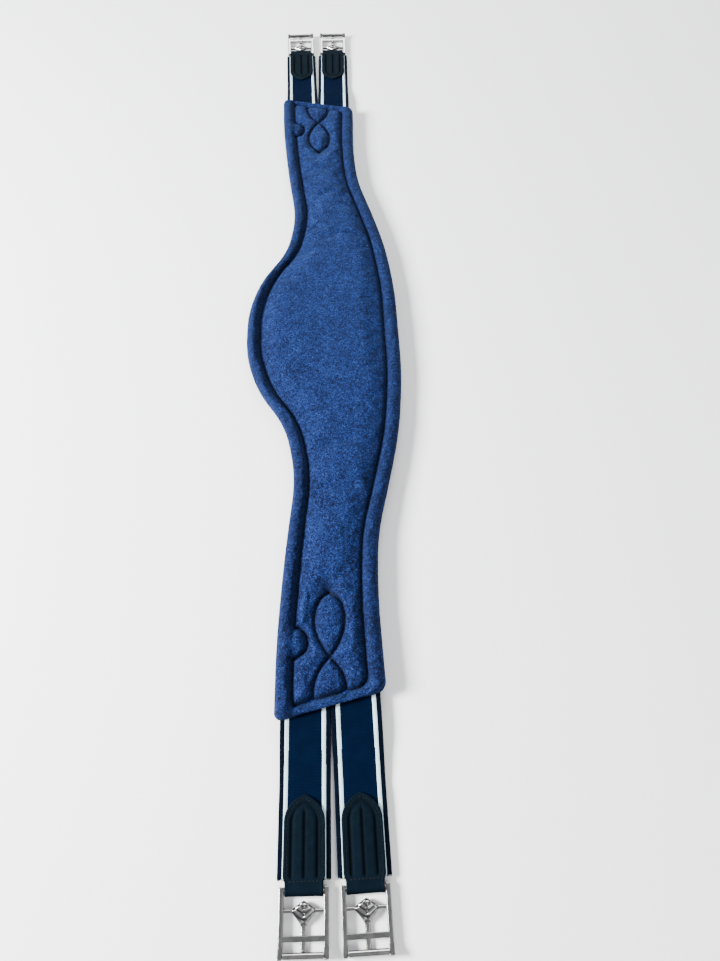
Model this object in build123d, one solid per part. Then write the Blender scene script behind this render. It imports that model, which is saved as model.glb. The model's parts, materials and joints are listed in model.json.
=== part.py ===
from build123d import *
import math
import os

os.makedirs("parts", exist_ok=True)

# A saddle girth lying open on its outer side, with the padded horse side up.
# Millimetres. +Y runs along the girth, +X points to the horse's rear, +Z away from the floor.
# The origin is on the floor, under the middle of the girth.
# "Front" is the -X edge with the elbow scoops, "near" is the -Y end and "far" is the +Y end.

# Overall sizes
TOTAL_LENGTH = 1150.0      # roller to roller
BODY_LENGTH = 800.0        # padded body, on its centre line
END_HALF_WIDTH = 47.0
END_SLANT = 11.0           # how much further out the front corner is than the centre line
BELLY_HALF_WIDTH = 83.0

# Padded body
ROLL_RADIUS = 8.5          # padded roll along each long edge
ROLL_Z = 8.5
COVER_Z = (4.5, 6.0)       # outer cover, bottom and top
FOAM_Z = (6.0, 13.5)
LINING_Z = (13.5, 15.0)    # horse-side layer
PIPING_RADIUS = 3.7        # stuffed piping along each slanted end
PIPING_Z = 11.3
WRAP_Y = 150.0             # the body bends across the girth at these two places
WRAP_GAP = 0.6
WEBBING_WIDTH = 36.0
WEBBING_X = 7.0            # runs beside the elbow scoops
WEBBING_Z = (2.5, 4.5)
WEBBING_INSET = 12.0

# Corners of the centre line of each edge roll, from the belly to the end, as (x, y).
# The last y is worked out from the slanted end.
BELLY_X = BELLY_HALF_WIDTH - ROLL_RADIUS
FRONT_CORNERS = [
    (-BELLY_X, 28.0),
    (-62.0, 72.0),
    (-32.0, 118.0),
    (-21.0, 180.0),
    (-31.0, 262.0),
    (-37.5, 345.0),
]
REAR_CORNERS = [
    (BELLY_X, 60.0),
    (67.0, 130.0),
    (53.0, 190.0),
    (39.5, 242.0),
    (36.0, 305.0),
]
END_X = END_HALF_WIDTH - ROLL_RADIUS

# Elastic straps, two at each end
ELASTIC_WIDTH = 41.0
ELASTIC_THICKNESS = 1.6
ELASTIC_X = 21.0           # strap centre at the body's end
ELASTIC_Z = 6.8            # strap centre where it leaves the body
SPLAY = 0.9                # degrees that the straps of a pair spread
ELASTIC_ROOT_LENGTH = 8.0  # level stretch before the strap slopes down
ELASTIC_LEVEL_LEAD = 4.0   # it is level again this far before the chape's tip
ANCHOR_LENGTH = 30.0       # sewn between foam and cover
SOFT_GAP = 0.3

# Roller buckles. Strap-wise places are counted outwards from the strap bar.
BAR_Z = 3.5
FRAME_WIDTH = 37.4
RAIL_WIDTH = 3.8
RAIL_BACK = 3.0            # the rails reach this far behind the strap bar
RAIL_TOP = 5.4
RAIL_HEEL = 1.2            # underside at the back end
RAIL_FLAT_U = (6.0, 34.0)  # stretch of the underside that lies on the floor
RAIL_BEND_U = 35.0         # from here the rails turn up
RAIL_NOSE_Z = (3.0, 8.2)
RAIL_ROUNDING = 0.8
BAND_ROUNDING = 0.6
TONGUE_BAR_U = 12.5
TONGUE_BAR_Z = 3.2
BAND_U = (28.0, 32.0)
BAND_Z = (3.9, 5.4)
ROLLER_U = 40.5
ROLLER_Z = 5.75
ROLLER_RADIUS = 2.4
ROLLER_END_GAP = 0.3
STRAP_BAR_RADIUS = 1.5
TONGUE_BAR_RADIUS = 1.4
ROLLER_PIN_RADIUS = 1.2
RUNNING_GAP = 0.05
SEAT_DEPTH = 1.5           # how far each cross bar is let into the rails
FRAME_INNER = FRAME_WIDTH / 2 - RAIL_WIDTH

# Tongue
TONGUE_BASE_WIDTH = 19.0
TONGUE_BASE_LENGTH = 14.0
TONGUE_BASE_THICKNESS = 5.0
TONGUE_BASE_EDGE = 0.8     # thickness left at the diamond's rim
TONGUE_FACET_TAPER = 35.0  # degrees
TONGUE_BARREL_WALL = 1.15
TONGUE_BARREL_LENGTH = 14.0
TONGUE_STEM_WIDTH = 3.2
TONGUE_STEM_Z = (0.5, 2.7)
TONGUE_STEM_ROUNDING = 0.8
TONGUE_TIP_U = ROLLER_U + 1.6

# Leather chapes that fold round the strap bar
CHAPE_WIDTH = 29.0
CHAPE_PLY = 1.6
CHAPE_PLAY = 0.35          # between the strap bar and the fold
CHAPE_BORE = STRAP_BAR_RADIUS + CHAPE_PLAY
CHAPE_SLOT = ELASTIC_THICKNESS + 2 * SOFT_GAP
CHAPE_TIP_U = -66.5
CHAPE_ARCH = 20.0
CHAPE_TAPER_U = -12.0
ELASTIC_END_U = -7.8

BODY_HALF = BODY_LENGTH / 2
BAR_U = TOTAL_LENGTH / 2 - BODY_HALF - ROLLER_U - ROLLER_RADIUS
SLANT_RATE = END_SLANT / END_HALF_WIDTH
SLANT_LENGTH = math.hypot(1.0, SLANT_RATE)

# Cutting blocks and cutters reach this far past what they cut
REACH_X = 150.0
REACH_Y = 60.0
REACH_Z = 60.0
OVERCUT = 2.0

ROUNDING_SHARE = 0.45      # share of the shorter run that a corner's arc may take


def end_y(x, inset=0.0):
    """Distance from the girth's middle to its slanted end, less an inset square to it."""
    return BODY_HALF - SLANT_RATE * x - inset * SLANT_LENGTH


def inside_ends(inset):
    """A block that holds everything between the two slanted ends."""
    front = end_y(-REACH_X, inset)
    rear = end_y(REACH_X, inset)
    corners = [(-REACH_X, -front), (REACH_X, -rear), (REACH_X, rear), (-REACH_X, front)]
    return extrude(make_face(Polyline(*corners, close=True)), REACH_Z, both=True)


def edge_points(corners, end_x, inset):
    """Corners of one long edge from the near end to the far end."""
    half = corners + [(end_x, end_y(end_x, inset))]
    return [(x, -y) for x, y in reversed(half)] + half


def corner_radii(points):
    """For each inner corner, the largest arc that its two runs allow."""
    radii = []
    for before, here, after in zip(points, points[1:], points[2:]):
        run_in = Vector(here) - Vector(before)
        run_out = Vector(after) - Vector(here)
        turn = math.radians(run_in.get_angle(run_out))
        shorter = min(run_in.length, run_out.length)
        radii.append(ROUNDING_SHARE * shorter / math.tan(turn / 2))
    return radii


def edge_line(corners, end_x, inset):
    points = edge_points(corners, end_x, inset)
    return FilletPolyline(*points, radius=corner_radii(points))


def edge_roll(corners, end_x):
    """One padded roll over the whole length, with a round nose at each end."""
    path = edge_line(corners, end_x, ROLL_RADIUS)
    start_plane = Plane(origin=path @ 0, z_dir=path % 0)
    roll = sweep(start_plane * Circle(ROLL_RADIUS), path=path)
    for end in (path @ 0, path @ 1):
        roll += Pos(end.X, end.Y, 0) * Sphere(ROLL_RADIUS)
    return Pos(0, 0, ROLL_Z) * roll


def panel(levels):
    """A layer between the centre lines of the two rolls."""
    front = edge_line(FRONT_CORNERS, -END_X, PIPING_RADIUS)
    rear = edge_line(REAR_CORNERS, END_X, PIPING_RADIUS)
    near = Line(front @ 0, rear @ 0)
    far = Line(front @ 1, rear @ 1)
    face = make_face(Wire(front.edges() + far.edges() + rear.edges() + near.edges()))
    return Pos(0, 0, levels[0]) * extrude(face, levels[1] - levels[0])


def end_piping(side):
    """Stuffed piping along one slanted end, between the rolls."""
    start = Vector(-END_X, side * end_y(-END_X, PIPING_RADIUS), PIPING_Z)
    finish = Vector(END_X, side * end_y(END_X, PIPING_RADIUS), PIPING_Z)
    line = finish - start
    return Plane(origin=start, z_dir=line) * Cylinder(
        PIPING_RADIUS, line.length, align=(Align.CENTER, Align.CENTER, Align.MIN)
    )


def webbing():
    low, high = WEBBING_Z
    strip = Box(WEBBING_WIDTH, 2 * (BODY_HALF + REACH_Y), high - low)
    return Pos(WEBBING_X, 0, (low + high) / 2) * strip & inside_ends(WEBBING_INSET)


def segment_block(name):
    """The stretch of the body that one wrap segment holds."""
    reach = BODY_HALF + REACH_Y
    inner = WRAP_Y - WRAP_GAP / 2
    outer = WRAP_Y + WRAP_GAP / 2
    low, high = {"near": (-reach, -outer), "centre": (-inner, inner), "far": (outer, reach)}[name]
    return Pos(0, (low + high) / 2, 0) * Box(2 * REACH_X, high - low, 2 * REACH_Z)


def strap_place(front_rear, near_far):
    """Strap frame: +Y outwards along the strap from the body's end, +X across it."""
    turn = 180 + front_rear * SPLAY if near_far < 0 else -front_rear * SPLAY
    return Location((front_rear * ELASTIC_X, near_far * BODY_HALF, 0), (0, 0, turn))


def side_profile(points, width):
    """Extrude a side view, given as (distance outwards, height), across the strap."""
    face = Plane.YZ * make_face(Polyline(*points, close=True))
    return extrude(face, width / 2, both=True)


def elastic():
    """Woven elastic from the body down to floor level and in between the chape's plies."""
    half = ELASTIC_THICKNESS / 2
    level_again = BAR_U + CHAPE_TIP_U - ELASTIC_LEVEL_LEAD
    end = BAR_U + ELASTIC_END_U
    line = [(-REACH_Y, ELASTIC_Z), (ELASTIC_ROOT_LENGTH, ELASTIC_Z), (level_again, BAR_Z), (end, BAR_Z)]
    points = [(u, z - half) for u, z in line] + [(u, z + half) for u, z in reversed(line)]
    return side_profile(points, ELASTIC_WIDTH)


def anchor():
    """End of one elastic, sewn into the body."""
    length = ANCHOR_LENGTH + REACH_Y
    strip = Box(ELASTIC_WIDTH, length, ELASTIC_THICKNESS)
    return Pos(0, length / 2 - ANCHOR_LENGTH, ELASTIC_Z) * strip


def chape():
    """Leather folded round the strap bar, with a pointed end on both faces."""
    outer_half = CHAPE_SLOT / 2 + CHAPE_PLY
    fold_radius = CHAPE_BORE + CHAPE_PLY
    reach = CHAPE_TIP_U - OVERCUT

    def wedge(half_at_fold, half_at_slot):
        shape = [(0, -half_at_fold), (0, half_at_fold), (CHAPE_TAPER_U, half_at_slot)]
        shape += [(reach, half_at_slot), (reach, -half_at_slot), (CHAPE_TAPER_U, -half_at_slot)]
        return side_profile(shape, CHAPE_WIDTH)

    across = Rotation(0, 90, 0)
    fold = wedge(fold_radius, outer_half) + across * Cylinder(fold_radius, CHAPE_WIDTH)
    bore = across * Cylinder(CHAPE_BORE, CHAPE_WIDTH + OVERCUT)
    hollow = wedge(CHAPE_BORE, CHAPE_SLOT / 2) + bore
    half = CHAPE_WIDTH / 2
    base = CHAPE_TIP_U + CHAPE_ARCH
    arc_radius = (half**2 + CHAPE_ARCH**2) / (2 * half)
    top = fold_radius + OVERCUT
    outline = Polyline((-half, base), (-half, top), (half, top), (half, base))
    arch = [RadiusArc((half, base), (0, CHAPE_TIP_U), arc_radius)]
    arch.append(RadiusArc((0, CHAPE_TIP_U), (-half, base), arc_radius))
    face = make_face(Wire(outline.edges() + arch[0].edges() + arch[1].edges()))
    prism = extrude(face, REACH_Z, both=True)
    return Pos(0, BAR_U, BAR_Z) * ((fold - hollow) & prism)


def across_bar(u, z, radius, length):
    return Pos(0, BAR_U + u, z) * (Rotation(0, 90, 0) * Cylinder(radius, length))


def crossbars():
    """Strap bar, tongue bar, flat band and roller pin, let into the rails."""
    length = 2 * (FRAME_INNER + SEAT_DEPTH)
    bars = [across_bar(0, BAR_Z, STRAP_BAR_RADIUS, length)]
    bars.append(across_bar(TONGUE_BAR_U, TONGUE_BAR_Z, TONGUE_BAR_RADIUS, length))
    bars.append(across_bar(ROLLER_U, ROLLER_Z, ROLLER_PIN_RADIUS, length))
    band = Box(length, BAND_U[1] - BAND_U[0], BAND_Z[1] - BAND_Z[0])
    band = fillet(band.edges().filter_by(Axis.X), BAND_ROUNDING)
    bars.append(Pos(0, BAR_U + sum(BAND_U) / 2, sum(BAND_Z) / 2) * band)
    return bars


def rails(bars):
    """The two sides of the frame, turned up at the end so that the roller clears the tongue."""
    nose = ROLLER_U + ROLLER_RADIUS
    points = [(-RAIL_BACK, RAIL_HEEL), (RAIL_FLAT_U[0], 0), (RAIL_FLAT_U[1], 0)]
    points += [(nose, RAIL_NOSE_Z[0]), (nose, RAIL_NOSE_Z[1])]
    points += [(RAIL_BEND_U, RAIL_TOP), (-RAIL_BACK, RAIL_TOP)]
    points = [(BAR_U + u, z) for u, z in points]
    rail = fillet(side_profile(points, RAIL_WIDTH).edges(), RAIL_ROUNDING)
    offset = FRAME_WIDTH / 2 - RAIL_WIDTH / 2
    pair = [Pos(-offset, 0, 0) * rail, Pos(offset, 0, 0) * rail]
    for bar in bars:
        pair = [side - bar for side in pair]
    return pair


def roller():
    length = 2 * (FRAME_INNER - ROLLER_END_GAP)
    tube = across_bar(ROLLER_U, ROLLER_Z, ROLLER_RADIUS, length)
    bore_radius = ROLLER_PIN_RADIUS + RUNNING_GAP
    return tube - across_bar(ROLLER_U, ROLLER_Z, bore_radius, length + OVERCUT)


def tongue():
    """Tongue with a faceted diamond base round its bar and a stem that lies under the roller."""
    half_width = TONGUE_BASE_WIDTH / 2
    half_length = TONGUE_BASE_LENGTH / 2
    corners = [(-half_width, 0), (0, -half_length), (half_width, 0), (0, half_length)]
    diamond = make_face(Polyline(*corners, close=True))
    edge = TONGUE_BASE_EDGE / 2
    middle = extrude(diamond, edge, both=True)
    facet = Pos(0, 0, edge) * extrude(
        diamond, TONGUE_BASE_THICKNESS / 2 - edge, taper=TONGUE_FACET_TAPER
    )
    base = middle + facet + mirror(facet, about=Plane.XY)
    base = Pos(0, BAR_U + TONGUE_BAR_U, TONGUE_BAR_Z) * base
    barrel_radius = TONGUE_BAR_RADIUS + TONGUE_BARREL_WALL
    barrel = across_bar(TONGUE_BAR_U, TONGUE_BAR_Z, barrel_radius, TONGUE_BARREL_LENGTH)
    low, high = TONGUE_STEM_Z
    start = BAR_U + TONGUE_BAR_U + TONGUE_BAR_RADIUS / 2
    finish = BAR_U + TONGUE_TIP_U
    stem = Box(TONGUE_STEM_WIDTH, finish - start, high - low)
    stem = fillet(stem.edges().filter_by(Axis.Y), TONGUE_STEM_ROUNDING)
    stem = Pos(0, (start + finish) / 2, (low + high) / 2) * stem
    bore_radius = TONGUE_BAR_RADIUS + RUNNING_GAP
    bore = across_bar(TONGUE_BAR_U, TONGUE_BAR_Z, bore_radius, FRAME_WIDTH)
    return base + barrel + stem - bore


def write(name, *solids):
    shape = solids[0] if len(solids) == 1 else Compound(children=list(solids))
    shape.label = name
    export_step(shape, f"parts/{name}.step")


# Padded body
front_roll = edge_roll(FRONT_CORNERS, -END_X)
rear_roll = edge_roll(REAR_CORNERS, END_X)
strap_ends = [("near", -1), ("far", 1)]
strap_sides = [("front", -1), ("rear", 1)]
pipings = {}
anchors = {}
for end, way in strap_ends:
    pipings[end] = end_piping(way) - front_roll - rear_roll
    anchors[end] = []
    for _, side in strap_sides:
        patch = strap_place(side, way) * anchor() & inside_ends(0)
        anchors[end].append(patch - front_roll - rear_roll)

layers = {"cover": panel(COVER_Z), "foam": panel(FOAM_Z), "lining": panel(LINING_Z)}
for layer in layers:
    for cutter in [front_roll, rear_roll, *pipings.values()]:
        layers[layer] = layers[layer] - cutter
for pair in anchors.values():
    for patch in pair:
        layers["foam"] = layers["foam"] - patch
layers["webbing"] = webbing()
layers["roll_front"] = front_roll
layers["roll_rear"] = rear_roll

for segment in ("near", "centre", "far"):
    for layer, solid in layers.items():
        write(f"{layer}_{segment}", solid & segment_block(segment))
for end, _ in strap_ends:
    write(f"piping_{end}", pipings[end])
    write(f"anchors_{end}", *anchors[end])

# Straps and buckles
bars = crossbars()
free_length = elastic()
shapes = {
    "chape": [chape()],
    "rails": rails(bars),
    "crossbars": bars,
    "tongue": [tongue()],
    "roller": [roller()],
}
for end, way in strap_ends:
    for side_name, side in strap_sides:
        place = strap_place(side, way)
        strap = f"{end}_{side_name}"
        write(f"elastic_{strap}", place * free_length - inside_ends(-SOFT_GAP))
        for name, solids in shapes.items():
            write(f"{name}_{strap}", *[place * solid for solid in solids])
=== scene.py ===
import json
import math

import bmesh
import bpy
import numpy as np
from mathutils import Matrix, Vector
from mathutils.kdtree import KDTree


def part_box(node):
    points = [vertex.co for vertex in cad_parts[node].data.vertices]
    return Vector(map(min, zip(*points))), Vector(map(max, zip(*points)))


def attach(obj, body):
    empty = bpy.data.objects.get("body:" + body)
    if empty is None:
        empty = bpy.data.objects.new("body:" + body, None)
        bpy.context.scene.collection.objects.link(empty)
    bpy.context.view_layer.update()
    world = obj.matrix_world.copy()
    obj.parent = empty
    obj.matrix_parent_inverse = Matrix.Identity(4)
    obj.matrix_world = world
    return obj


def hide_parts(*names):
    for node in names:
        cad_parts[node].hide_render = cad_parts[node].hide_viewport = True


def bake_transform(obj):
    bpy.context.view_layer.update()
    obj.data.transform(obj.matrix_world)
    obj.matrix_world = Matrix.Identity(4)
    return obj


# A saddle girth lying open with its padded horse side up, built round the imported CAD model.
# Mesh code works in millimetres in the model's frame and turns them into metres when it makes a mesh.
# "Front" is the -X edge with the elbow scoops, "near" is the -Y end and "far" is the +Y end.
# e is the distance in from a slanted end, d the distance in from a long edge, u the distance outwards
# along a strap from its strap bar, and z the height over the floor.

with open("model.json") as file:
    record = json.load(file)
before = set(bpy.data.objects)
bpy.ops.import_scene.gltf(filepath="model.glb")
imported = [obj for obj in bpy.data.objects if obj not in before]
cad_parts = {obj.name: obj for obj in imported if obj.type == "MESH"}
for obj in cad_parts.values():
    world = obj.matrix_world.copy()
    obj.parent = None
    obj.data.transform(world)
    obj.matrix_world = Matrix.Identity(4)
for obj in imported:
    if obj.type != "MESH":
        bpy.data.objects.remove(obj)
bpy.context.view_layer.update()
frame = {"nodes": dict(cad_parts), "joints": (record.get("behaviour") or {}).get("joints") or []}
MM = 0.001
JOINTS = {joint["name"]: joint for joint in frame["joints"]}
ENDS = {"near": -1, "far": 1}
SIDES = ("front", "rear")

# Places read from the CAD model
ROLL_R = 500 * (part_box("roll_front_centre")[1].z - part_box("roll_front_centre")[0].z)
COVER_LOW = 1000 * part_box("cover_centre")[0].z
COVER_HIGH = 1000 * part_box("cover_centre")[1].z
FRONT_TIP = 1000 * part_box("roll_front_far")[1].y - ROLL_R
REAR_TIP = 1000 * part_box("roll_rear_far")[1].y - ROLL_R

# Padded body
NOSE = 6.0                 # how far in the end's rounding goes
CORNER = 8.0               # plan radius of the body's corners
FRONT_SEAM = 14.5          # border seam, in from the front edge, the rear edge and the ends
REAR_SEAM = 15.5
END_SEAM = 8.5
ROW_STEP = 1.3
INNER_COLUMNS = 84
CLOTH_STEP = 3.0
CLOTH_COLUMNS = 46
CLOTH_FRAMES = 20
CLOTH_SPARE = 0.012        # share by which the cloth is cut larger than what it covers
CLOTH_CAP = 2.2            # how far the stuffing may move it
CLOTH_HELD = 2.2           # it is held this near to a seam
CLOTH_RIM = 5.0            # and this near to the body's edge
DIMPLE = 6.0               # radius of the dimple by the motif's inner tip

# Sewing and mesh making
STITCH_PITCH = 3.3
STITCH = (2.5, 0.3)        # length and radius
FLOOR_GAP = 0.03           # how far the chapes stay over the floor
SHARP_COSINE = 0.3         # faces that meet at a sharper angle keep a hard edge
MEETS = 0.3                # rims closer than this are joined
UP = np.array([0.0, 0.0, 1.0])


# ---------------------------------------------------------------- meshes

def smooth(t):
    """0 below 0, 1 above 1, with a smooth rise between."""
    t = np.clip(t, 0.0, 1.0)
    return t * t * (3 - 2 * t)


def round_edge(distance, radius):
    """Height of a quarter round, from 0 at the edge to 1 at one radius in."""
    return np.sqrt(np.maximum(0.0, 1 - (1 - np.clip(distance / radius, 0, 1)) ** 2))


def bell(distance, width):
    """1 at no distance, falling off smoothly over about the width."""
    return np.exp(-((distance / width) ** 2))


def lumps(x, y, size, seed):
    """Smooth noise from -1 to 1 with lumps of the given size."""
    table = np.random.default_rng(seed).uniform(-1, 1, (256, 256))
    gx, gy = np.asarray(x) / size, np.asarray(y) / size
    ix, iy = np.floor(gx).astype(int), np.floor(gy).astype(int)
    fx, fy = smooth(gx - ix), smooth(gy - iy)
    low = table[ix % 256, iy % 256] * (1 - fx) + table[(ix + 1) % 256, iy % 256] * fx
    high = table[ix % 256, (iy + 1) % 256] * (1 - fx) + table[(ix + 1) % 256, (iy + 1) % 256] * fx
    return low * (1 - fy) + high * fy


def dress(piece, material, slot):
    """Give a piece its material. The slot argument is not used."""
    piece.data.materials.append(material)


def joined(runs):
    """One long array of each kind, from runs that hold one array of each."""
    return [np.concatenate(kind) for kind in zip(*runs)]


def vertex_places(mesh):
    co = np.zeros(len(mesh.vertices) * 3)
    mesh.vertices.foreach_get("co", co)
    return co.reshape(-1, 3)


def add_object(name, data):
    item = bpy.data.objects.new(name, data)
    bpy.context.scene.collection.objects.link(item)
    return item


def finish_mesh(name, points, faces, place=None, weld=True, marks=None):
    """A smooth-shaded object from points in millimetres, which keeps its rest place as an attribute.

    The marks are numbers for the points of an upper grid; the lower grid's points get 0.
    """
    mesh = bpy.data.meshes.new(name)
    mesh.from_pydata((np.asarray(points) * MM).tolist(), [], faces)
    for mark, values in (marks or {}).items():
        attribute = mesh.attributes.new(mark, "FLOAT", "POINT")
        both = np.concatenate([np.ravel(values), np.zeros(np.size(values))])
        attribute.data.foreach_set("value", both.astype(np.float32))
    if weld:
        work = bmesh.new()
        work.from_mesh(mesh)
        bmesh.ops.remove_doubles(work, verts=work.verts, dist=1e-7)
        bmesh.ops.dissolve_degenerate(work, edges=work.edges, dist=1e-7)
        bmesh.ops.recalc_face_normals(work, faces=work.faces)
        work.to_mesh(mesh)
        work.free()
    mesh.polygons.foreach_set("use_smooth", [True] * len(mesh.polygons))
    co = vertex_places(mesh)
    if place is not None:
        back = np.array(place.inverted())
        co = co @ back[:3, :3].T + back[:3, 3]
    attribute = mesh.attributes.new("place", "FLOAT_VECTOR", "POINT")
    attribute.data.foreach_set("vector", co.astype(np.float32).ravel())
    return add_object(name, mesh)


def grid(x, y, z):
    """A grid of points from grids of their coordinates."""
    return np.stack([x, y, z], axis=2)


def grid_faces(rows, columns, first=0, flip=False):
    """Four-sided faces over a grid of points, the first of which has the given number."""
    r, c = np.meshgrid(np.arange(rows - 1), np.arange(columns - 1), indexing="ij")
    corner = (first + r * columns + c).ravel()
    faces = np.stack([corner, corner + 1, corner + columns + 1, corner + columns], axis=1)
    return (faces[:, ::-1] if flip else faces).tolist()


def shell(name, upper, lower, place=None, marks=None):
    """A closed piece from an upper and a lower grid of points that meet along their rims."""
    upper, lower = upper.copy(), lower.copy()
    rows, columns = upper.shape[:2]
    count = rows * columns
    faces = grid_faces(rows, columns) + grid_faces(rows, columns, count, True)
    for row in (0, rows - 1):
        if np.median(np.abs(upper[row] - lower[row]).max(axis=1)) > MEETS:
            a = row * columns + np.arange(columns - 1)
            faces += np.stack([a, a + 1, a + 1 + count, a + count], axis=1).tolist()
        else:
            upper[row] = lower[row] = (upper[row] + lower[row]) / 2
    for column in (0, columns - 1):
        upper[:, column] = lower[:, column] = (upper[:, column] + lower[:, column]) / 2
    points = np.concatenate([upper.reshape(-1, 3), lower.reshape(-1, 3)])
    piece = finish_mesh(name, points, faces, place, marks=marks)
    corners = np.array([face.normal for face in piece.data.polygons])
    shared = {}
    for k, face in enumerate(piece.data.polygons):
        for key in face.edge_keys:
            shared.setdefault(key, []).append(k)
    for edge in piece.data.edges:
        pair = shared.get(edge.key, [])
        if len(pair) == 2 and float(corners[pair[0]] @ corners[pair[1]]) < SHARP_COSINE:
            edge.use_edge_sharp = True
    return piece


def smooth_line(points, step=1.0):
    """A curve through the points (Catmull-Rom), sampled about every step."""
    p = np.asarray(points, float)
    p = np.concatenate([[2 * p[0] - p[1]], p, [2 * p[-1] - p[-2]]])
    found = []
    for a, b, c, d in zip(p, p[1:], p[2:], p[3:]):
        t = np.linspace(0, 1, max(2, int(np.linalg.norm(c - b) / step) + 1))[:-1, None]
        square = 2 * a - 5 * b + 4 * c - d
        cube = 3 * b - a - 3 * c + d
        found.append(0.5 * (2 * b + (c - a) * t + square * t**2 + cube * t**3))
    return np.concatenate([*found, [p[-2]]])


def spaced(line, pitch):
    """Points and directions along a line, one pitch apart."""
    step = np.diff(line, axis=0)
    along = np.concatenate([[0], np.cumsum(np.linalg.norm(step, axis=1))])
    wanted = np.arange(pitch / 2, along[-1], pitch)

    def at(where):
        return np.stack([np.interp(where, along, axis) for axis in line.T], axis=1)

    way = at(wanted + 0.5) - at(wanted - 0.5)
    return at(wanted), way / np.linalg.norm(way, axis=1)[:, None]


def stitches(name, points, ways, up, size, look, place=None):
    """Short rounded stitches, one at each point, lying along its way.

    up is the direction that they face, or one for each. size is their length and radius.
    """
    length, radius = size
    ups = np.broadcast_to(up, (len(points), 3))
    sides = 6
    stations = [(-0.5, 0.35), (-0.36, 0.85), (0.0, 1.0), (0.36, 0.85), (0.5, 0.35)]
    verts, faces = [], []
    for point, way, up in zip(points, ways, ups):
        across = np.cross(way, up)
        across /= np.linalg.norm(across)
        lift = np.cross(across, way)
        base = len(verts)
        for t, share in stations:
            bow = (1 - (2 * t) ** 2) * radius * 0.8
            centre = point + way * t * length + lift * bow
            for k in range(sides):
                angle = 2 * math.pi * k / sides
                verts.append(centre + radius * share * (across * math.cos(angle) + lift * math.sin(angle)))
        for s in range(len(stations) - 1):
            for k in range(sides):
                a, b = base + s * sides + k, base + s * sides + (k + 1) % sides
                faces.append((a, b, b + sides, a + sides))
        faces.append(tuple(base + k for k in reversed(range(sides))))
        faces.append(tuple(base + (len(stations) - 1) * sides + k for k in range(sides)))
    piece = finish_mesh(name, verts, faces, place, weld=False)
    dress(piece, *look)
    return piece


# ---------------------------------------------------------------- materials

def set_stops(elements, stops):
    """Give a colour ramp its stops: positions and colours."""
    while len(elements) < len(stops):
        elements.new(0.5)
    for element, (position, colour) in zip(elements, stops):
        element.position = position
        element.color = (*colour, 1)


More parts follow.
